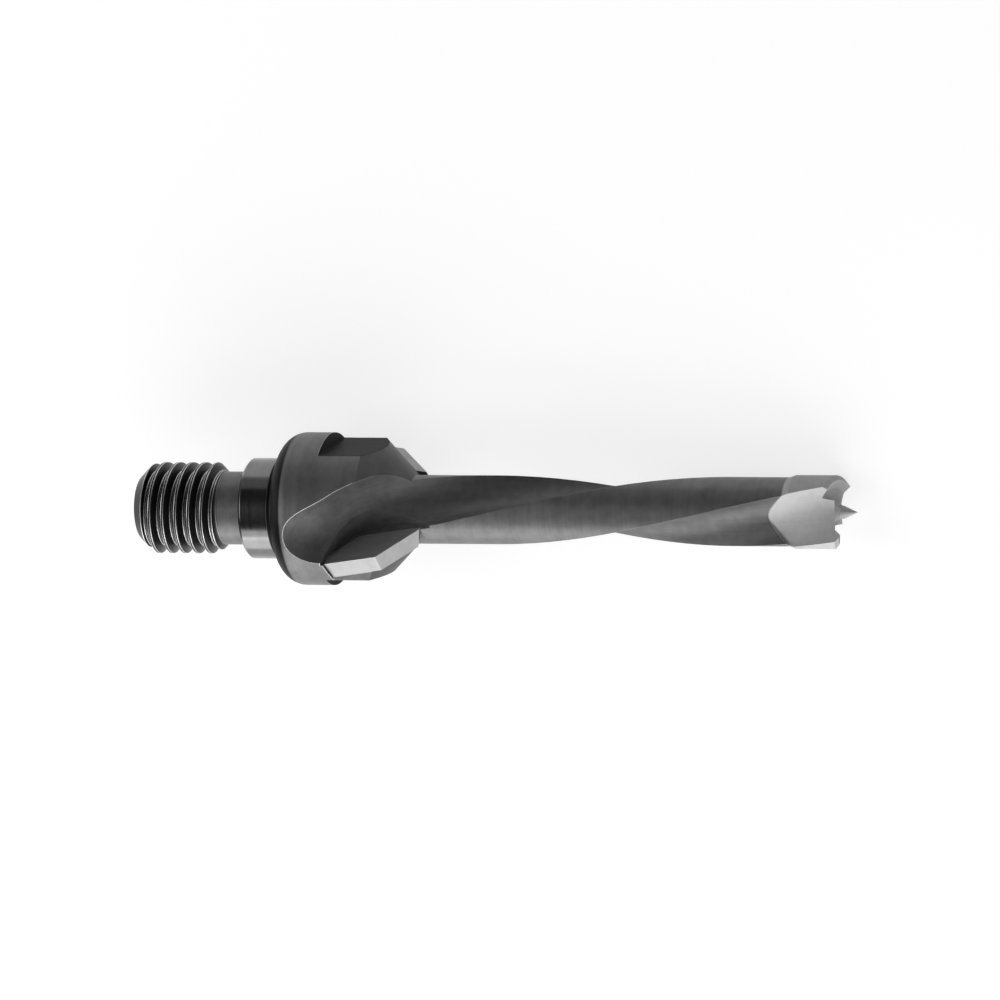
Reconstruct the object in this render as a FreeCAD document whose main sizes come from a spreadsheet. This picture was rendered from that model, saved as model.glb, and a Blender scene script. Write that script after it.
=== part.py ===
# Dowel drill with a threaded shank, a two-wing countersink head and a carbide brad-point tip.
# Tool frame: Z runs from shank to point with the register shoulder at zero, angles count from X towards Y.
# The finished tool is then turned into the pose in which it rests on its flange and its tip.
import FreeCAD
import Part
import Sketcher
import math
import os

doc = FreeCAD.newDocument("dowel_drill")

# Sizes: millimetres, and degrees where the name ends in _deg
SIZES = [
    ("thread_dia", 10.0, "major diameter of the shank thread"),
    ("thread_pitch", 1.5, "advance of the left-hand thread per turn"),
    ("thread_depth", 0.86, "radial depth of the thread groove"),
    ("thread_flank_deg", 60.0, "angle between the thread flanks"),
    ("groove_floor", 0.24, "width of the flat at the bottom of the groove"),
    ("thread_length", 9.6, "free end to the neck, end chamfers included"),
    ("thread_lead_in", 1.5, "chamfer at the free end"),
    ("neck_dia", 8.0, "undercut between thread and collar"),
    ("neck_length", 3.0, "length of the undercut"),
    ("collar_dia", 11.0, "register collar that centres the tool"),
    ("collar_length", 4.0, "collar, edge chamfer included"),
    ("collar_chamfer", 0.3, "chamfer on the free edge of the collar"),
    ("flange_dia", 16.7, "shoulder flange and steel wings"),
    ("shoulder_width", 0.45, "flat ring between collar and flange rounding"),
    ("head_length", 15.0, "shoulder to the small end of the cone"),
    ("cone_deg", 45.0, "slope of the countersink cone to the axis"),
    ("stem_dia", 7.5, "fluted steel stem"),
    ("tip_dia", 8.0, "drilling diameter of the carbide tip"),
    ("total_length", 65.0, "shoulder to the centre point"),
    ("flute_lead", 102.0, "advance of the left-hand flutes per turn"),
    ("flute_phase_deg", 42.4, "direction of the first flute at the shoulder"),
    ("flute_radius", 3.7, "radius of the flute floor"),
    ("web", 2.6, "thickness left between the flutes"),
    ("flute_straight", 5.5, "height below which the flute stops turning"),
    ("runout_start", 19.0, "height below which the flute climbs out"),
    ("runout_radius", 24.0, "radius of the climb"),
    ("tip_flute_radius", 4.35, "wider flute of the carbide tip"),
    ("tip_flute_shift_deg", 3.4, "turn of the tip flute towards the cutting edge"),
    ("flat_distance", 6.95, "axis to the relief flat behind each wing"),
    ("flat_deg", 102.8, "direction the relief flat faces"),
    ("flat_start", 5.5, "height at which the relief flat begins"),
    ("insert_dia", 16.0, "countersink diameter over the carbide edges"),
    ("insert_deg", 36.8, "direction of the rake face across the axis"),
    ("insert_offset", 1.1, "rake face behind the axis, gives positive rake"),
    ("insert_tilt_deg", 9.7, "lean of the rake face to the axis"),
    ("insert_middle", 9.2, "height at which the offset is taken"),
    ("insert_thickness", 2.4, "carbide insert"),
    ("insert_rear", 3.2, "middle to the rear end of the insert"),
    ("insert_corner", 2.9, "middle to the corner where the cone edge starts"),
    ("insert_foot", 3.5, "axis to the inner long side of the insert"),
    ("insert_nose", 0.25, "height of the blunt front end of the insert"),
    ("insert_heel", 1.4, "height of the rear end of the insert"),
    ("insert_relief", 0.9, "clearance of the flank over the thickness"),
    ("wheel_radius", 7.15, "disc that opens the pocket before the rake face"),
    ("wheel_width", 3.6, "depth of the pocket in front of the rake face"),
    ("wheel_lean_deg", 19.0, "lean of the pocket's wall towards the point"),
    ("wheel_height", 3.5, "middle of the insert to the disc centre"),
    ("wheel_distance", 9.0, "axis to the disc centre"),
    ("braze_gap", 0.1, "seam of hard solder under tip and inserts"),
    ("seat_deg", 100.0, "included angle of the conical tip seat"),
    ("seat_rim", 7.6, "point back to the rim of the seat"),
    ("tip_step", 0.7, "length of the chamfer from stem to tip diameter"),
    ("spur_back", 1.5, "point back to the top of the spurs"),
    ("spur_dia", 7.0, "circle through the tops of the spurs"),
    ("spur_bevel", 0.4, "height of the bevel outside the spurs"),
    ("valley_back", 2.3, "point back to the valley beside the centre point"),
    ("valley_rise", 0.2, "rise of the valley towards the spurs"),
    ("valley_dia", 5.2, "circle where the valley meets the spurs"),
    ("point_dia", 1.6, "foot of the centre point"),
    ("point_flare", 0.5, "flare between the centre point and the valley"),
    ("point_height", 1.75, "sharp part of the centre point"),
    ("tip_relief", 0.015, "drop of the end face per degree behind the edge"),
    ("tip_land_deg", 80.0, "width of one land of the tip"),
    ("rest_pitch_deg", 4.86, "dip of the axis towards the tip at rest"),
    ("rest_roll_deg", 164.1, "turn about the axis at rest, one flute facing down"),
]

sheet = doc.addObject("Spreadsheet::Sheet", "Sizes")
for row, (name, value, note) in enumerate(SIZES, 1):
    sheet.set(f"A{row}", name)
    sheet.set(f"B{row}", str(value))
    sheet.set(f"C{row}", note)
    sheet.setAlias(f"B{row}", name)
doc.recompute()

Y_AXIS = FreeCAD.Vector(0, 1, 0)
Z_AXIS = FreeCAD.Vector(0, 0, 1)


def turned(angle):
    """Placement that turns about the tool axis."""
    return FreeCAD.Placement(FreeCAD.Vector(), FreeCAD.Rotation(Z_AXIS, angle))


def outline(body, name, plane, points):
    """Closed polygon whose corners are bound to expressions of the sheet."""
    sketch = body.newObject("Sketcher::SketchObject", name)
    origin_plane = next(f for f in body.Origin.OriginFeatures if f.Role == plane)
    sketch.AttachmentSupport = (origin_plane, "")
    sketch.MapMode = "FlatFace"
    corners = [tuple(float(sketch.evalExpression(text)) for text in pair) for pair in points]
    for index, corner in enumerate(corners):
        following = corners[(index + 1) % len(corners)]
        sketch.addGeometry(Part.LineSegment(FreeCAD.Vector(*corner, 0), FreeCAD.Vector(*following, 0)))
    for index in range(len(corners)):
        sketch.addConstraint(Sketcher.Constraint("Coincident", index, 2, (index + 1) % len(corners), 1))
    for index, (corner, pair) in enumerate(zip(corners, points)):
        for kind, number, text in zip(("DistanceX", "DistanceY"), corner, pair):
            row = sketch.addConstraint(Sketcher.Constraint(kind, -1, 1, index, 1, number))
            sketch.setExpression(f"Constraints[{row}]", text)
    return sketch


def axis_of(body, role):
    return next(f for f in body.Origin.OriginFeatures if f.Role == role)


def turned_body(name, points):
    """Body revolved about the tool axis from a half section of radius and height."""
    body = doc.addObject("PartDesign::Body", name)
    section = outline(body, name + "_section", "XZ_Plane", points)
    solid = body.newObject("PartDesign::Revolution", name + "_turning")
    solid.Profile = section
    solid.ReferenceAxis = (axis_of(body, "Z_Axis"), "")
    solid.Angle = 360
    body.Tip = solid
    return body


def plate_body(name, frame, points, thickness):
    """Body padded from a polygon drawn in the plane of the rake face."""
    body = doc.addObject("PartDesign::Body", name)
    face = outline(body, name + "_outline", "XY_Plane", points)
    pad = body.newObject("PartDesign::Pad", name + "_pad")
    pad.Profile = face
    pad.setExpression("Length", thickness)
    body.Tip = pad
    body.Placement = frame
    return body


def cut(name, base, tool):
    result = doc.addObject("Part::Cut", name)
    result.Base = base
    result.Tool = tool
    return result


# Blank: thread, neck, collar, flange, cone and stem turned in one piece
THREAD_START = "-Sizes.collar_length - Sizes.neck_length"
SHANK_END = THREAD_START + " - Sizes.thread_length"
CONE_START = "Sizes.head_length - (Sizes.flange_dia - Sizes.stem_dia) / 2 / tan(Sizes.cone_deg * 1 deg)"
SEAT_DEPTH = "Sizes.stem_dia / 2 / tan(Sizes.seat_deg / 2 * 1 deg)"
SEAT_DROP = "Sizes.braze_gap / sin(Sizes.seat_deg / 2 * 1 deg)"
RIM = "Sizes.total_length - Sizes.seat_rim"

blank = turned_body("blank", [
    ("0", SHANK_END),
    ("Sizes.thread_dia / 2 - Sizes.thread_lead_in", SHANK_END),
    ("Sizes.thread_dia / 2", SHANK_END + " + Sizes.thread_lead_in"),
    ("Sizes.thread_dia / 2", THREAD_START + " - (Sizes.thread_dia - Sizes.neck_dia) / 2"),
    ("Sizes.neck_dia / 2", THREAD_START),
    ("Sizes.neck_dia / 2", "-Sizes.collar_length"),
    ("Sizes.collar_dia / 2 - Sizes.collar_chamfer", "-Sizes.collar_length"),
    ("Sizes.collar_dia / 2", "Sizes.collar_chamfer - Sizes.collar_length"),
    ("Sizes.collar_dia / 2", "0"),
    ("Sizes.flange_dia / 2", "0"),
    ("Sizes.flange_dia / 2", CONE_START),
    ("Sizes.stem_dia / 2", "Sizes.head_length"),
    ("Sizes.stem_dia / 2", f"{RIM} - {SEAT_DROP}"),
    ("0", f"{RIM} - {SEAT_DEPTH} - {SEAT_DROP}"),
])
doc.recompute()

turning = blank.Tip
rim_edge = next(
    f"Edge{number}" for number, edge in enumerate(turning.Shape.Edges, 1)
    if hasattr(edge.Curve, "Radius")
    and abs(edge.Curve.Radius - sheet.flange_dia / 2) < 1e-6
    and abs(edge.CenterOfMass.z) < 1e-6
)
rounding = blank.newObject("PartDesign::Fillet", "flange_rounding")
rounding.Base = (turning, [rim_edge])
rounding.setExpression("Radius", "(Sizes.flange_dia - Sizes.collar_dia) / 2 - Sizes.shoulder_width")
blank.Tip = rounding
doc.recompute()

# Thread: a groove that enters past the free end and leaves in the neck
GROOVE_MIDDLE = f"{SHANK_END} - Sizes.thread_pitch"
HALF_FLOOR = "Sizes.groove_floor / 2"
HALF_MOUTH = f"({HALF_FLOOR} + (Sizes.thread_depth + 0.2) * tan(Sizes.thread_flank_deg / 2 * 1 deg))"
groove = outline(blank, "groove_section", "XZ_Plane", [
    ("Sizes.thread_dia / 2 + 0.2", f"{GROOVE_MIDDLE} - {HALF_MOUTH}"),
    ("Sizes.thread_dia / 2 + 0.2", f"{GROOVE_MIDDLE} + {HALF_MOUTH}"),
    ("Sizes.thread_dia / 2 - Sizes.thread_depth", f"{GROOVE_MIDDLE} + {HALF_FLOOR}"),
    ("Sizes.thread_dia / 2 - Sizes.thread_depth", f"{GROOVE_MIDDLE} - {HALF_FLOOR}"),
])
thread = blank.newObject("PartDesign::SubtractiveHelix", "thread")
thread.Profile = groove
thread.ReferenceAxis = (axis_of(blank, "Z_Axis"), "")
thread.Mode = "pitch-height-angle"
thread.setExpression("Pitch", "Sizes.thread_pitch")
thread.setExpression("Height", "Sizes.thread_length + 2 * Sizes.thread_pitch")
thread.LeftHanded = True
blank.Tip = thread


# Flutes: a round-floored slot lofted through sections that turn left-handed about the axis
def flute_direction(height):
    """Direction of the slot; it turns with the lead and runs straight near the flange."""
    turning_height = max(height, sheet.flute_straight)
    return sheet.flute_phase_deg - 360 * turning_height / sheet.flute_lead


def floor_rise(height):
    """How far the floor has climbed towards the flange along the arc of the cutter."""
    run = max(0.0, sheet.runout_start - height)
    return sheet.runout_radius - math.sqrt(sheet.runout_radius ** 2 - run ** 2)


def slot_section(height, radius, centre, direction):
    outer = centre + sheet.flange_dia
    corner = FreeCAD.Vector(centre, radius, height)
    bottom = FreeCAD.Vector(centre - radius, 0, height)
    other_corner = FreeCAD.Vector(centre, -radius, height)
    wire = Part.Wire([
        Part.LineSegment(FreeCAD.Vector(outer, radius, height), corner).toShape(),
        Part.Arc(corner, bottom, other_corner).toShape(),
        Part.LineSegment(other_corner, FreeCAD.Vector(outer, -radius, height)).toShape(),
        Part.LineSegment(FreeCAD.Vector(outer, -radius, height), FreeCAD.Vector(outer, radius, height)).toShape(),
    ])
    wire.Placement = turned(direction)
    return wire


def slots(name, radius, low, high, step, shift):
    """Two opposite slots between two heights."""
    count = math.ceil((high - low) / step)
    sections = []
    for index in range(count + 1):
        height = low + (high - low) * index / count
        centre = sheet.web / 2 + radius + floor_rise(height)
        sections.append(slot_section(height, radius, centre, flute_direction(height) + shift))
    loft = Part.makeLoft(sections, True)
    opposite = loft.copy()
    opposite.Placement = turned(180)
    feature = doc.addObject("Part::Feature", name)
    feature.Shape = Part.makeCompound([loft, opposite])
    return feature


flutes = slots("flutes", sheet.flute_radius, 0.3, sheet.total_length + 1, 2.0, 0)
tip_flutes = slots(
    "tip_flutes", sheet.tip_flute_radius, sheet.total_length - sheet.seat_rim - 4, sheet.total_length + 2, 2.0,
    sheet.tip_flute_shift_deg,
)

# Relief flats, insert seats and the disc-ground pockets in front of the rake faces
SIDES = (("a", 0.0), ("b", 180.0))


def insert_frame(turn):
    """Rake plane of one insert: first axis along the tool, second outwards, third into the wing."""
    outwards = FreeCAD.Vector(math.cos(math.radians(sheet.insert_deg)), math.sin(math.radians(sheet.insert_deg)), 0)
    behind = Z_AXIS.cross(outwards)
    lean = math.radians(sheet.insert_tilt_deg)
    along = Z_AXIS * math.cos(lean) - behind * math.sin(lean)
    origin = behind * sheet.insert_offset + Z_AXIS * sheet.insert_middle
    rotation = FreeCAD.Rotation(along, outwards, along.cross(outwards), "XYZ")
    return turned(turn).multiply(FreeCAD.Placement(origin, rotation))


EDGE = "sqrt(Sizes.insert_dia ^ 2 / 4 - Sizes.insert_offset ^ 2)"
CORNER = "Sizes.insert_corner"
FOOT = "Sizes.insert_foot"
REAR = "-Sizes.insert_rear"
HEEL = f"({EDGE} - Sizes.insert_heel)"
BEND = f"({REAR} + {HEEL} - {FOOT})"
NOSE = f"({CORNER} + {EDGE} - {FOOT} - Sizes.insert_nose)"
GAP = "Sizes.braze_gap"
GAP_BEND = f"{GAP} * tan(22.5 deg)"
RELIEF = "Sizes.insert_relief"

FRONT_OUTLINE = [
    (REAR, EDGE),
    (CORNER, EDGE),
    (NOSE, f"{FOOT} + Sizes.insert_nose"),
    (NOSE, FOOT),
    (BEND, FOOT),
    (REAR, HEEL),
]
BACK_OUTLINE = [
    (REAR, f"{EDGE} - {RELIEF}"),
    (f"{CORNER} - {RELIEF} * tan(22.5 deg)", f"{EDGE} - {RELIEF}"),
    (f"{NOSE} - {RELIEF} * sqrt(2) + Sizes.insert_nose - 0.05", f"{FOOT} + 0.05"),
    (f"{NOSE} - {RELIEF} * sqrt(2) + Sizes.insert_nose - 0.05", FOOT),
    (BEND, FOOT),
    (REAR, HEEL),
]
SEAT_OUTLINE = [
    (f"{REAR} - {GAP}", "Sizes.flange_dia"),
    (f"{NOSE} + {GAP}", "Sizes.flange_dia"),
    (f"{NOSE} + {GAP}", f"{FOOT} - {GAP}"),
    (f"{BEND} - {GAP_BEND}", f"{FOOT} - {GAP}"),
    (f"{REAR} - {GAP}", f"{HEEL} - {GAP_BEND}"),
]
BRAZE_OUTLINE = [
    (f"{REAR} - {GAP}", f"{EDGE} - {RELIEF}"),
    BACK_OUTLINE[1],
    BACK_OUTLINE[2],
    (BACK_OUTLINE[2][0], f"{FOOT} - {GAP}"),
    SEAT_OUTLINE[3],
    SEAT_OUTLINE[4],
]
SEAT_DEEP = f"Sizes.insert_thickness + {GAP}"


def insert_body(name, frame):
    """Carbide plate that narrows behind its cutting edges."""
    body = doc.addObject("PartDesign::Body", name)
    rake = outline(body, name + "_rake", "XY_Plane", FRONT_OUTLINE)
    back = outline(body, name + "_back", "XY_Plane", BACK_OUTLINE)
    back.setExpression("AttachmentOffset.Base.z", "Sizes.insert_thickness")
    loft = body.newObject("PartDesign::AdditiveLoft", name + "_loft")
    loft.Profile = rake
    loft.Sections = [back]
    loft.Ruled = True
    body.Tip = loft
    body.Placement = frame
    return body


solids = {}
wing_cutters = []
for side, turn in SIDES:
    frame = insert_frame(turn)
    flat = doc.addObject("Part::Box", "relief_flat_" + side)
    flat.setExpression("Length", "Sizes.flange_dia")
    flat.setExpression("Width", "2 * Sizes.flange_dia")
    flat.setExpression("Height", "Sizes.head_length + 2")
    corner = FreeCAD.Vector(sheet.flat_distance, -sheet.flange_dia, sheet.flat_start)
    flat.Placement = turned(sheet.flat_deg + turn).multiply(FreeCAD.Placement(corner, FreeCAD.Rotation()))

    rim = doc.addObject("Part::Circle", "rake_wheel_" + side)
    rim.setExpression("Radius", "Sizes.wheel_radius")
    centre = FreeCAD.Vector(sheet.wheel_height, sheet.wheel_distance, 0)
    rim.Placement = frame.multiply(FreeCAD.Placement(centre, FreeCAD.Rotation()))
    disc = doc.addObject("Part::Extrusion", "rake_pocket_" + side)
    disc.Base = rim
    disc.DirMode = "Custom"
    disc.Dir = frame.Rotation.multVec(FreeCAD.Vector(math.tan(math.radians(sheet.wheel_lean_deg)), 0, -1))
    disc.setExpression("LengthFwd", "Sizes.wheel_width / cos(Sizes.wheel_lean_deg * 1 deg)")
    disc.Solid = True

    seat = plate_body("insert_seat_" + side, frame, SEAT_OUTLINE, SEAT_DEEP)
    lip = plate_body("flank_trim_" + side, frame, [
        (f"{REAR} - {GAP}", f"{EDGE} - {RELIEF}"),
        (f"{REAR} - {GAP}", "Sizes.flange_dia"),
        (NOSE, "Sizes.flange_dia"),
        (NOSE, f"{EDGE} - {RELIEF}"),
    ], "2 * Sizes.insert_thickness")
    wing_cutters += [flat, disc, seat, lip]

    insert = insert_body("countersink_insert_" + side, frame)
    seam = plate_body("seam_plate_" + side, frame, BRAZE_OUTLINE, SEAT_DEEP)
    inside = doc.addObject("Part::Common", "seam_inside_" + side)
    inside.Base = seam
    inside.Tool = blank
    solids["countersink_insert_" + side] = insert
    solids["insert_braze_" + side] = cut("insert_seam_" + side, inside, insert)

# Carbide tip: conical foot, spurs, valleys and centre point turned, then fluted and relieved
tip_blank = turned_body("tip_blank", [
    ("0", f"{RIM} - {SEAT_DEPTH}"),
    ("Sizes.stem_dia / 2", RIM),
    ("Sizes.tip_dia / 2", f"{RIM} + Sizes.tip_step"),
    ("Sizes.tip_dia / 2", "Sizes.total_length - Sizes.spur_back - Sizes.spur_bevel"),
    ("Sizes.spur_dia / 2", "Sizes.total_length - Sizes.spur_back"),
    ("Sizes.valley_dia / 2", "Sizes.total_length - Sizes.valley_back + Sizes.valley_rise"),
    ("Sizes.point_dia / 2 + Sizes.point_flare", "Sizes.total_length - Sizes.valley_back"),
    ("Sizes.point_dia / 2", "Sizes.total_length - Sizes.valley_back + Sizes.point_flare"),
    ("Sizes.point_dia / 2", "Sizes.total_length - Sizes.point_height"),
    ("0", "Sizes.total_length"),
])
tip_seam = turned_body("tip_seam", [
    ("0", f"{RIM} - {SEAT_DEPTH} - {SEAT_DROP}"),
    ("Sizes.stem_dia / 2", f"{RIM} - {SEAT_DROP}"),
    ("Sizes.stem_dia / 2", RIM),
    ("0", f"{RIM} - {SEAT_DEPTH}"),
])


def end_relief(start):
    """Cutter that drops the end face of one land behind its cutting edge."""
    top = sheet.total_length + 3
    valley = sheet.total_length - sheet.valley_back
    spur = sheet.total_length - sheet.spur_back
    outside = sheet.tip_dia / 2 + 1
    inside = sheet.point_dia * 0.45
    steps = 6
    sections = []
    for index in range(steps + 1):
        angle = (sheet.tip_land_deg + 10) * index / steps
        drop = sheet.tip_relief * angle
        corners = [
            (inside, top),
            (inside, valley + sheet.point_flare - drop),
            (inside + sheet.point_flare, valley - drop),
            (sheet.valley_dia / 2, valley + sheet.valley_rise - drop),
            (sheet.spur_dia / 2, spur - drop),
            (sheet.tip_dia / 2, spur - sheet.spur_bevel - drop),
            (outside, spur - sheet.spur_bevel - drop),
            (outside, top),
        ]
        wire = Part.makePolygon([FreeCAD.Vector(radius, 0, height) for radius, height in corners + corners[:1]])
        wire.Placement = turned(start + angle)
        sections.append(wire)
    return Part.makeLoft(sections, True)


tip_radius = sheet.tip_dia / 2
tip_centre = sheet.web / 2 + sheet.tip_flute_radius
tip_half = math.degrees(math.acos(
    (tip_centre ** 2 + tip_radius ** 2 - sheet.tip_flute_radius ** 2) / (2 * tip_centre * tip_radius)
))
edge_angle = flute_direction(sheet.total_length - sheet.spur_back) + sheet.tip_flute_shift_deg + tip_half
reliefs = doc.addObject("Part::Feature", "end_reliefs")
reliefs.Shape = Part.makeCompound([end_relief(edge_angle), end_relief(edge_angle + 180)])

steel = cut("fluted_blank", blank, flutes)
for cutter in wing_cutters:
    steel = cut("steel_less_" + cutter.Name, steel, cutter)
solids["tool_body"] = steel
solids["drill_tip"] = cut("relieved_tip", cut("fluted_tip", tip_blank, tip_flutes), reliefs)
solids["tip_braze"] = cut("fluted_tip_seam", tip_seam, flutes)
doc.recompute()

# Resting pose shared by all pieces: above the floor at zero, centred on the outline seen from above
rest_turn = FreeCAD.Rotation(Y_AXIS, 90 + sheet.rest_pitch_deg).multiply(FreeCAD.Rotation(Z_AXIS, sheet.rest_roll_deg))
touching = []
for feature in (solids["tool_body"], solids["drill_tip"]):
    touching += [rest_turn.multVec(point) for point in feature.Shape.tessellate(0.005)[0]]
lowest = min(point.z for point in touching)
middle_x = (min(point.x for point in touching) + max(point.x for point in touching)) / 2
middle_y = (min(point.y for point in touching) + max(point.y for point in touching)) / 2
rest = FreeCAD.Placement(FreeCAD.Vector(-middle_x, -middle_y, -lowest), rest_turn)
nodes = {}
for name, feature in solids.items():
    nodes[name] = doc.addObject("Part::Compound", "placed_" + name)
    nodes[name].Label = name
    nodes[name].Links = [feature]
    nodes[name].Placement = rest
doc.recompute()

for obj in doc.Objects:
    if "Invalid" in obj.State or "Error" in obj.State:
        raise RuntimeError(f"{obj.Name} is in state {obj.State}")

os.makedirs("parts", exist_ok=True)
for name, node in nodes.items():
    shape = node.Shape
    if shape.isNull() or not shape.isValid() or len(shape.Solids) != 1:
        raise RuntimeError(f"{name} isn't one valid solid")
    shape.exportStep(f"parts/{name}.step")
    print(name, round(shape.Volume, 2), "mm3")
print("rest placement", rest)
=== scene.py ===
import bpy
import math
from mathutils import Matrix, Vector

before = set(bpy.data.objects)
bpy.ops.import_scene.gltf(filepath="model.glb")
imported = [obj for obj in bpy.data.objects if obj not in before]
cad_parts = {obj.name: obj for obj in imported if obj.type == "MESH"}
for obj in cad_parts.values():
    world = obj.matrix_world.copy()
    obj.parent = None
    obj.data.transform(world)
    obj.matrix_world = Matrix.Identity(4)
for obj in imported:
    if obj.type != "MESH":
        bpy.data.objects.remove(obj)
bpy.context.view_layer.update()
print("frame loaded:", sorted(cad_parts))

# How the tool lies, as in the solids: its own frame has the third axis from shank to point,
# the first towards the viewer and the second down the picture
restingPose = {
    "pitchDeg": 4.86,          # dip of the axis to the point
    "rollDeg": 164.1,          # turn about the axis
    "shoulder": (-0.0239647, 0.0, 0.0085153),
}
toolTurn = (
    Matrix.Rotation(math.radians(90 + restingPose["pitchDeg"]), 4, "Y")
    @ Matrix.Rotation(math.radians(restingPose["rollDeg"]), 4, "Z")
)
toolFrame = Matrix.Translation(Vector(restingPose["shoulder"])) @ toolTurn
floorToTool = toolFrame.inverted()


def linearColour(code):
    # the sRGB curve
    values = [int(code[i:i + 2], 16) / 255 for i in (1, 3, 5)]
    return [v / 12.92 if v <= 0.04045 else ((v + 0.055) / 1.055) ** 2.4 for v in values] + [1.0]


def addNode(tree, kind, inputs=None, **settings):
    # an input takes a value, a socket, or a node, whose first active output is then linked
    node = tree.nodes.new(kind)
    for name, value in settings.items():
        setattr(node, name, value)
    for name, value in (inputs or {}).items():
        if isinstance(value, bpy.types.Node):
            value = next(socket for socket in value.outputs if socket.enabled)
        if isinstance(value, bpy.types.NodeSocket):
            tree.links.new(value, node.inputs[name])
        else:
            node.inputs[name].default_value = value
    return node


def newMaterial(name):
    material = bpy.data.materials.new(name)
    material.use_nodes = True
    tree = material.node_tree
    tree.nodes.clear()
    return material, tree


def toolPoint(tree):
    # a point of the surface in the tool's own frame, in metres
    return addNode(tree, "ShaderNodeMapping", {
        "Vector": addNode(tree, "ShaderNodeTexCoord").outputs["Object"],
        "Rotation": floorToTool.to_euler("XYZ"),
        "Location": floorToTool.to_translation(),
    })


# Where each finish lies on the tool, in metres of its own frame
toolShape = {
    "threadEnd": -0.0070,      # free end to here is thread
    "collarStart": -0.0040,
    "footStart": -0.0006,      # painted near-black shade on the foot of the collar and the rounded back of the flange
    "footEnd": 0.00175,
    "flangeRadius": 0.00835,
    "coneStart": 0.0104,
    "coneEnd": 0.0150,
    "stemRadius": 0.00375,
    "flatDistance": 0.00695,   # axis to the relief flats of the wings
    "flatDeg": 102.8,          # direction they face
    "flatStart": 0.0055,
    "lead": 0.102,             # advance of the flutes per turn
    # between which two distances from its place each border fades in
    "fades": {
        "threadEnd": (-0.0002, 0.0002),
        "collarStart": (-0.0001, 0.0),
        "footStart": (-0.0001, 0.0),
        "footEnd": (-0.0001, 0.0001),
        "flatStart": (-0.00004, -0.00001),
        "coneStart": (-0.00002, 0.00002),
        "coneEnd": (-0.0001, 0.0),
        "rimEnd": (-0.0004, -0.0003),      # before the cone
        "beyondFlat": (-0.00004, -0.00002),
        "skin": (-0.00008, -0.00003),      # under the turned outline
        "rim": (-0.00016, -0.0001),        # under the turned outline, a little deeper
    },
}


def zonesOf(tree, point, shape):
    # height and radius of a point, and its share of each zone, 0 to 1
    height = addNode(tree, "ShaderNodeSeparateXYZ", {"Vector": point}).outputs["Z"]
    across = addNode(tree, "ShaderNodeVectorMath", {0: point, 1: (1, 1, 0)}, operation="MULTIPLY")
    radius = addNode(tree, "ShaderNodeVectorMath", {0: across}, operation="LENGTH")
    outline = addNode(tree, "ShaderNodeMapRange", {
        "Value": height, "From Min": shape["coneStart"], "From Max": shape["coneEnd"],
        "To Min": shape["flangeRadius"], "To Max": shape["stemRadius"],
    })
    rise = addNode(tree, "ShaderNodeMath", {0: radius, 1: outline}, operation="SUBTRACT")
    facing = math.radians(shape["flatDeg"])
    sideways = addNode(tree, "ShaderNodeVectorMath", {
        0: point, 1: (math.cos(facing), math.sin(facing), 0),
    }, operation="DOT_PRODUCT")
    away = addNode(tree, "ShaderNodeMath", {0: sideways}, operation="ABSOLUTE")
    zones = {"height": height, "radius": radius}
    for name, measure, place in (
        ("threadEnd", height, shape["threadEnd"]),
        ("collarStart", height, shape["collarStart"]),
        ("footStart", height, shape["footStart"]),
        ("footEnd", height, shape["footEnd"]),
        ("flatStart", height, shape["flatStart"]),
        ("coneStart", height, shape["coneStart"]),
        ("coneEnd", height, shape["coneEnd"]),
        ("rimEnd", height, shape["coneStart"]),
        ("beyondFlat", away, shape["flatDistance"]),
        ("skin", rise, 0.0),
        ("rim", rise, 0.0),
    ):
        low, high = shape["fades"][name]
        zones[name] = addNode(tree, "ShaderNodeMapRange", {
            "Value": measure, "From Min": place + low, "From Max": place + high,
        })
    for name, operation, first, second in (
        ("thread", "SUBTRACT", 1.0, "threadEnd"),
        ("beforeFoot", "SUBTRACT", 1.0, "footStart"),
        ("collar", "MULTIPLY", "beforeFoot", "collarStart"),
        ("beforeFlange", "SUBTRACT", 1.0, "footEnd"),
        ("paintedShadeFoot", "SUBTRACT", "beforeFlange", "beforeFoot"),
        ("turned", "MAXIMUM", "skin", "beforeFlange"),
        ("milled", "SUBTRACT", 1.0, "turned"),
        # painted shade on the relief flats
        ("paintedShadeFlat", "MULTIPLY", "beyondFlat", "flatStart"),
        ("beforeStem", "SUBTRACT", 1.0, "coneEnd"),
        ("alongCone", "MULTIPLY", "coneStart", "beforeStem"),
        ("cone", "MULTIPLY", "alongCone", "skin"),
        ("black", "MAXIMUM", "paintedShadeFlat", "paintedShadeFoot"),
        ("covered", "MAXIMUM", "rimEnd", "black"),
        ("open", "SUBTRACT", 1.0, "covered"),
        ("highlightRim", "MULTIPLY", "rim", "open"),
        ("highlightedEdges", "MAXIMUM", "highlightRim", "thread"),
    ):
        zones[name] = addNode(tree, "ShaderNodeMath", {
            0: zones.get(first, first), 1: zones.get(second, second),
        }, operation=operation)
    return zones


# What the ground surfaces of steel and carbide share
grinding = {
    "alongFlute": 0.03,        # marks in the flutes are drawn out along the twist by one over this
    "markDetail": 3.0,
    "streakScale": 0.2,        # a streak is five marks wide
    "streakDetail": 2.0,
    "patchDetail": 4.0,
    "parts": (0.4, 0.35, 0.25),     # patches, streaks and marks in the mottling
    "mottling": (0.4, 0.6),    # spread to the full range
    "roughnessSpread": 0.07,
    "edgeTurn": (0.995, 0.95),      # cosine between rounded and plain normal, from no painted highlight to full
    "edgeSamples": 8,
}


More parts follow.
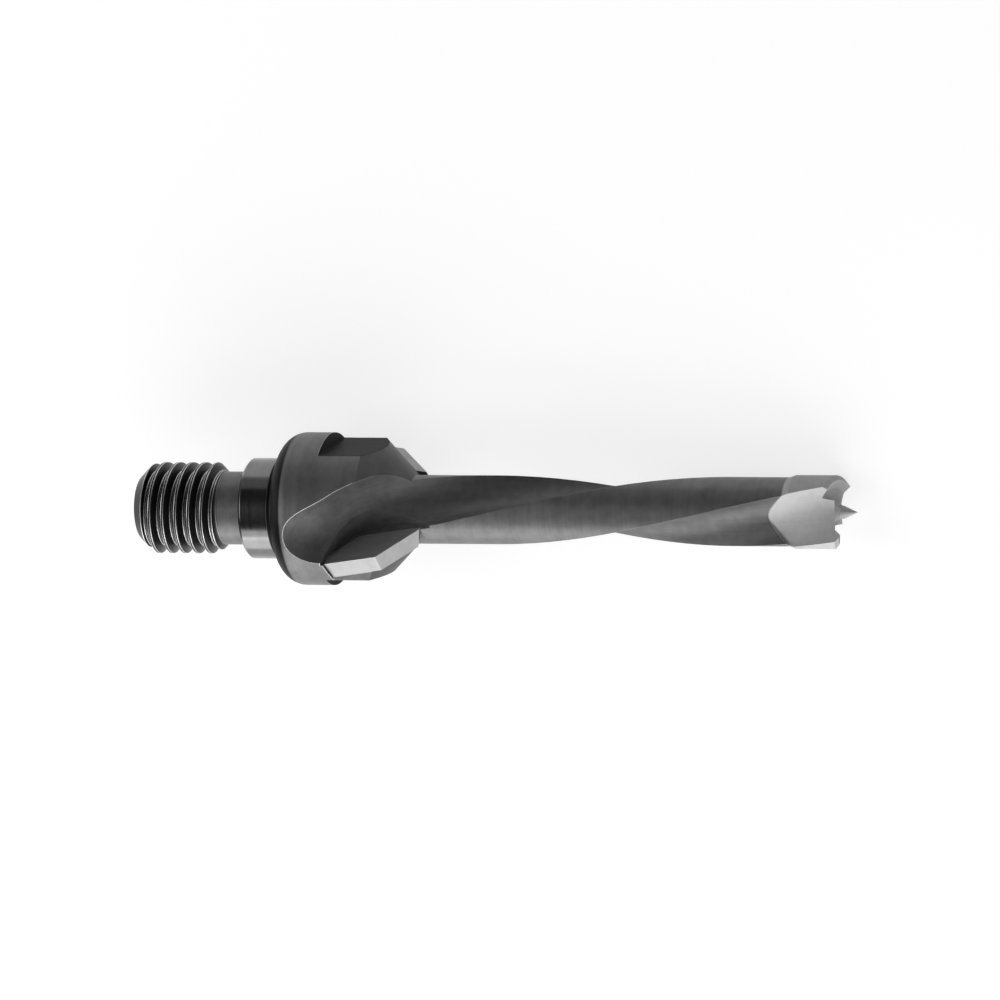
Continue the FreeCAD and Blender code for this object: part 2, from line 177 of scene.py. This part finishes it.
def grindingMarks(tree, point, zones, spacing):
    # fine marks and broader streaks: rings round the axis on turned faces, lines along the twist in flutes
    rings = addNode(tree, "ShaderNodeCombineXYZ", {"X": zones["radius"], "Y": zones["height"]})
    twist = addNode(tree, "ShaderNodeMath", {
        0: zones["height"], 1: 2 * math.pi / toolShape["lead"],
    }, operation="MULTIPLY")
    unwound = addNode(tree, "ShaderNodeVectorRotate", {
        "Vector": point, "Angle": twist,
    }, rotation_type="Z_AXIS")
    lines = addNode(tree, "ShaderNodeVectorMath", {
        0: unwound, 1: (1, 1, grinding["alongFlute"]),
    }, operation="MULTIPLY")
    grain = addNode(tree, "ShaderNodeMix", {
        "Factor": zones["turned"], 4: lines, 5: rings,
    }, data_type="VECTOR")
    marks = addNode(tree, "ShaderNodeTexNoise", {
        "Vector": grain, "Scale": 1 / spacing, "Detail": grinding["markDetail"],
    })
    streaks = addNode(tree, "ShaderNodeTexNoise", {
        "Vector": grain, "Scale": grinding["streakScale"] / spacing, "Detail": grinding["streakDetail"],
    })
    return marks, streaks


def mottle(tree, point, marks, streaks, size):
    # 0 to 1: cloudy patches of the given size, with the streaks and marks showing through
    patches = addNode(tree, "ShaderNodeTexNoise", {
        "Vector": point, "Scale": 1 / size, "Detail": grinding["patchDetail"],
    })
    total = 0.0
    for layer, part in zip((patches, streaks, marks), grinding["parts"]):
        total = addNode(tree, "ShaderNodeMath", {0: layer, 1: part, 2: total}, operation="MULTIPLY_ADD")
    low, high = grinding["mottling"]
    return addNode(tree, "ShaderNodeMapRange", {"Value": total, "From Min": low, "From Max": high})


def edgeShare(tree, width):
    # 1 on the narrow strip beside a sharp edge, where a near-white highlight is painted, and the rounded
    # normal
    rounded = addNode(tree, "ShaderNodeBevel", {"Radius": width}, samples=grinding["edgeSamples"])
    plain = addNode(tree, "ShaderNodeNewGeometry").outputs["Normal"]
    match = addNode(tree, "ShaderNodeVectorMath", {0: rounded, 1: plain}, operation="DOT_PRODUCT")
    noHighlight, fullHighlight = grinding["edgeTurn"]
    return addNode(tree, "ShaderNodeMapRange", {"Value": match, "From Min": noHighlight, "From Max": fullHighlight}), rounded


# Tool steel, hardened black and then ground: flange and stem are a dull mid grey, the flutes a shade
# darker, the collar is ground bright enough to mirror, and the thread stays black; the flats and the foot of
# the collar are painted near black and the cones darker, as painted shade
steelFinish = {
    # colour, darker patches, metallic, roughness, specular level
    "turned": ("#7b7b7b", "#6a6a6a", 0.5, 0.45, 0.5),
    "milled": ("#717171", "#606060", 0.35, 0.5, 0.4),
    # painted shade: the cone faces are painted a shade darker
    "cone": ("#5e5e5e", "#545454", 0.35, 0.5, 0.4),
    "collar": ("#7a7a7a", "#727272", 1.0, 0.2, 0.5),
    # painted shade: the relief flats of the wings are painted near black
    "paintedShadeFlat": ("#303030", "#292929", 0.1, 0.6, 0.1),
    "thread": ("#222222", "#1a1a1a", 0.35, 0.35, 0.25),
    # painted shade: near black on the foot of the collar and the rounded back of the flange
    "paintedShadeFoot": ("#0b0b0b", "#090909", 0.0, 0.45, 0.12),
    # painted highlight: near white, with more metal, on the strip beside sharp edges
    "edge": "#f0f0f0",
    "edgeMetal": 0.8,
    "patchSize": 0.0011,
    "markSpacing": 0.0003,     # marks of about 0.05 mm, drawn coarser so that they show
    "markDepth": 0.000005,
    "edgeWidth": 0.00012,
    "threadEdgeWidth": 0.00014,
}


def burnishedSteel(look):
    material, tree = newMaterial("burnishedToolSteel")
    point = toolPoint(tree)
    zones = zonesOf(tree, point, toolShape)
    marks, streaks = grindingMarks(tree, point, zones, look["markSpacing"])
    patches = mottle(tree, point, marks, streaks, look["patchSize"])
    width = addNode(tree, "ShaderNodeMix", {
        "Factor": zones["thread"], 2: look["edgeWidth"], 3: look["threadEdgeWidth"],
    })
    sharp, rounded = edgeShare(tree, width)
    # painted highlight along the sharp edges of the outline and the thread
    edge = addNode(tree, "ShaderNodeMath", {0: sharp, 1: zones["highlightedEdges"]}, operation="MULTIPLY")
    surface = [linearColour(value) if isinstance(value, str) else value for value in look["turned"]]
    for zone in ("milled", "cone", "collar", "paintedShadeFlat", "thread", "paintedShadeFoot"):
        for i, value in enumerate(look[zone]):
            if isinstance(value, str):
                surface[i] = addNode(tree, "ShaderNodeMix", {
                    "Factor": zones[zone], 6: surface[i], 7: linearColour(value),
                }, data_type="RGBA")
            else:
                surface[i] = addNode(tree, "ShaderNodeMix", {"Factor": zones[zone], 2: surface[i], 3: value})
    light, dark, metal, roughness, gloss = surface
    colour = addNode(tree, "ShaderNodeMix", {"Factor": patches, 6: dark, 7: light}, data_type="RGBA")
    colour = addNode(tree, "ShaderNodeMix", {
        "Factor": edge, 6: colour, 7: linearColour(look["edge"]),
    }, data_type="RGBA")
    metal = addNode(tree, "ShaderNodeMix", {"Factor": edge, 2: metal, 3: look["edgeMetal"]})
    spread = addNode(tree, "ShaderNodeMapRange", {
        "Value": marks, "To Min": -grinding["roughnessSpread"], "To Max": grinding["roughnessSpread"],
    })
    shader = addNode(tree, "ShaderNodeBsdfPrincipled", {
        "Base Color": colour,
        "Roughness": addNode(tree, "ShaderNodeMath", {0: roughness, 1: spread}, operation="ADD"),
        "Metallic": metal,
        "Specular IOR Level": gloss,
        "Normal": addNode(tree, "ShaderNodeBump", {
            "Height": marks, "Distance": look["markDepth"], "Normal": rounded,
        }),
    })
    addNode(tree, "ShaderNodeOutputMaterial", {"Surface": shader})
    return material


# Tungsten carbide: the tip is ground with a coarse diamond wheel, a light matt grey with fine parallel
# lines, and the inserts are ground finer, so that they mirror their surroundings more
tipFinish = {
    "name": "groundCarbide",
    "ground": "#d0d0d0",
    "groundDark": "#c4c4c4",
    "edge": "#f0f0f0",
    "roughness": 0.6,
    "metal": 0.2,
    "patchSize": 0.0009,
    "markSpacing": 0.00025,    # finer in truth, drawn coarser so that they show
    "markDepth": 0.000004,
    "edgeWidth": 0.00005,
}
insertFinish = dict(
    tipFinish, name="lappedCarbide", ground="#b4b4b4", groundDark="#a8a8a8", roughness=0.42, metal=0.65,
)


def carbideMaterial(look):
    material, tree = newMaterial(look["name"])
    point = toolPoint(tree)
    zones = zonesOf(tree, point, toolShape)
    marks, streaks = grindingMarks(tree, point, zones, look["markSpacing"])
    patches = mottle(tree, point, marks, streaks, look["patchSize"])
    edge, rounded = edgeShare(tree, look["edgeWidth"])
    colour = addNode(tree, "ShaderNodeMix", {
        "Factor": patches, 6: linearColour(look["groundDark"]), 7: linearColour(look["ground"]),
    }, data_type="RGBA")
    # painted highlight: a near-white strip along the sharp edges of the carbide
    colour = addNode(tree, "ShaderNodeMix", {
        "Factor": edge, 6: colour, 7: linearColour(look["edge"]),
    }, data_type="RGBA")
    shader = addNode(tree, "ShaderNodeBsdfPrincipled", {
        "Base Color": colour,
        "Roughness": addNode(tree, "ShaderNodeMapRange", {
            "Value": marks,
            "To Min": look["roughness"] - grinding["roughnessSpread"],
            "To Max": look["roughness"] + grinding["roughnessSpread"],
        }),
        "Metallic": look["metal"],
        "Normal": addNode(tree, "ShaderNodeBump", {
            "Height": marks, "Distance": look["markDepth"], "Normal": rounded,
        }),
    })
    addNode(tree, "ShaderNodeOutputMaterial", {"Surface": shader})
    return material


# Silver solder, wiped and blasted: a dull pale seam with small pits
solderFinish = {
    "solder": "#b0aeaa",
    "pit": "#8e8c88",
    "metal": 0.6,
    "roughness": 0.45,
    "pitSize": 0.00025,
    "pitDetail": 4.0,
    "pitDepth": 0.00001,
}


def silverSolder(look):
    material, tree = newMaterial("wipedSilverSolder")
    pits = addNode(tree, "ShaderNodeTexNoise", {
        "Vector": toolPoint(tree), "Scale": 1 / look["pitSize"], "Detail": look["pitDetail"],
    })
    shader = addNode(tree, "ShaderNodeBsdfPrincipled", {
        "Base Color": addNode(tree, "ShaderNodeMix", {
            "Factor": pits, 6: linearColour(look["pit"]), 7: linearColour(look["solder"]),
        }, data_type="RGBA"),
        "Roughness": look["roughness"],
        "Metallic": look["metal"],
        "Normal": addNode(tree, "ShaderNodeBump", {"Height": pits, "Distance": look["pitDepth"]}),
    })
    addNode(tree, "ShaderNodeOutputMaterial", {"Surface": shader})
    return material


steel = burnishedSteel(steelFinish)
tipCarbide = carbideMaterial(tipFinish)
insertCarbide = carbideMaterial(insertFinish)
solder = silverSolder(solderFinish)
finishes = {
    "tool_body": steel,
    "drill_tip": tipCarbide,
    "countersink_insert_a": insertCarbide,
    "countersink_insert_b": insertCarbide,
    "tip_braze": solder,
    "insert_braze_a": solder,
    "insert_braze_b": solder,
}
for name, material in finishes.items():
    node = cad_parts[name]
    node.data.materials.clear()
    node.data.materials.append(material)
print("finishes assigned")

cameraSetup = {
    "yawDeg": 18.0,            # the point is turned towards the camera by this angle
    "rollDeg": 0.39,
    "distance": 1.5,
    "pictureWidth": 0.10929,   # metres across the picture at the target
    "along": 0.0232,           # shoulder to the target, across the picture
    "below": -0.00107,         # and down it
    "sensor": 36.0,            # millimetres
    "clip": (0.01, 20.0),
}
yaw = math.radians(cameraSetup["yawDeg"])
toCamera = Vector((math.cos(yaw), 0, math.sin(yaw)))
right = Vector((-math.sin(yaw), 0, math.cos(yaw)))
down = Vector((0, 1, 0))
target = right * cameraSetup["along"] + down * cameraSetup["below"]
cameraData = bpy.data.cameras.new("camera")
cameraData.sensor_width = cameraSetup["sensor"]
cameraData.lens = cameraSetup["sensor"] * cameraSetup["distance"] / cameraSetup["pictureWidth"]
cameraData.clip_start, cameraData.clip_end = cameraSetup["clip"]
camera = bpy.data.objects.new("camera", cameraData)
bpy.context.scene.collection.objects.link(camera)
camera.matrix_world = (
    toolFrame
    @ Matrix.Translation(target + toCamera * cameraSetup["distance"])
    @ Matrix((right, -down, toCamera)).transposed().to_4x4()
    @ Matrix.Rotation(math.radians(cameraSetup["rollDeg"]), 4, "Z")
)
bpy.context.scene.camera = camera
print("camera placed")

# Pale paper floor: it shows as white, also where metal mirrors it, and still takes the tool's shadow
paperFloor = {
    "half": 1.5,
    "colour": "#a8a8a8",
    "roughness": 0.9,
    "glow": 0.75,
    "surround": "#363636",     # walls of the studio, beyond the floor
}
half = paperFloor["half"]
floorMesh = bpy.data.meshes.new("floor")
floorMesh.from_pydata(
    [(-half, -half, 0), (half, -half, 0), (half, half, 0), (-half, half, 0)], [], [(0, 1, 2, 3)],
)
floor = bpy.data.objects.new("floor", floorMesh)
bpy.context.scene.collection.objects.link(floor)
material, tree = newMaterial("palePaper")
rays = addNode(tree, "ShaderNodeLightPath").outputs
shown = rays["Is Camera Ray"]
for ray in ("Is Glossy Ray", "Is Transmission Ray"):
    shown = addNode(tree, "ShaderNodeMath", {0: shown, 1: rays[ray]}, operation="MAXIMUM")
paper = addNode(tree, "ShaderNodeBsdfPrincipled", {
    "Base Color": linearColour(paperFloor["colour"]),
    "Roughness": paperFloor["roughness"],
    "Specular IOR Level": 0.0,
    "Emission Color": (1, 1, 1, 1),
    "Emission Strength": addNode(tree, "ShaderNodeMath", {
        0: shown, 1: paperFloor["glow"],
    }, operation="MULTIPLY"),
})
addNode(tree, "ShaderNodeOutputMaterial", {"Surface": paper})
floorMesh.materials.append(material)

world = bpy.data.worlds.new("studioSurround")
world.use_nodes = True
world.node_tree.nodes["Background"].inputs["Color"].default_value = linearColour(paperFloor["surround"])
bpy.context.scene.world = world

# Studio light: three wide softboxes below the picture, brightest at the bottom, a weak fill above it
# and a tall one beside the shank
studio = {
    "middle": 0.024,           # shoulder to the point of the axis that the lamps surround
    "distance": 0.5,
    # degrees from the camera down the picture and along it, width and height in metres, radiance
    "lamps": {
        "softboxLow": {"down": 88.0, "along": -3.0, "size": (1.0, 0.33), "radiance": 2.7},
        "softboxMiddle": {"down": 57.0, "along": -3.0, "size": (1.0, 0.22), "radiance": 1.3},
        "softboxHigh": {"down": 34.0, "along": -3.0, "size": (1.0, 0.20), "radiance": 0.4},
        "fill": {"down": -56.0, "along": 0.0, "size": (1.0, 0.3), "radiance": 0.25},
        "side": {"down": 0.0, "along": -78.0, "size": (0.3, 0.6), "radiance": 2.0},
    },
}


def pictureDirection(downDeg, alongDeg):
    # direction from the tool: 0 is the camera, positive down the picture and towards the point
    tilt, swing = math.radians(downDeg), math.radians(alongDeg)
    facing = toCamera * math.cos(tilt) + down * math.sin(tilt)
    return toolTurn.to_3x3() @ (facing * math.cos(swing) + right * math.sin(swing))


middle = toolFrame @ Vector((0, 0, studio["middle"]))
for name, lamp in studio["lamps"].items():
    width, height = lamp["size"]
    light = bpy.data.lights.new(name, "AREA")
    light.shape = "RECTANGLE"
    light.size = width
    light.size_y = height
    light.energy = lamp["radiance"] * math.pi * width * height    # watts that give the radiance
    direction = pictureDirection(lamp["down"], lamp["along"])
    panel = bpy.data.objects.new(name, light)
    panel.location = middle + direction * studio["distance"]
    panel.rotation_mode = "QUATERNION"
    panel.rotation_quaternion = direction.to_track_quat("Z", "Y")
    bpy.context.scene.collection.objects.link(panel)
print("studio lit")

bpy.context.scene.view_settings.view_transform = "Standard"
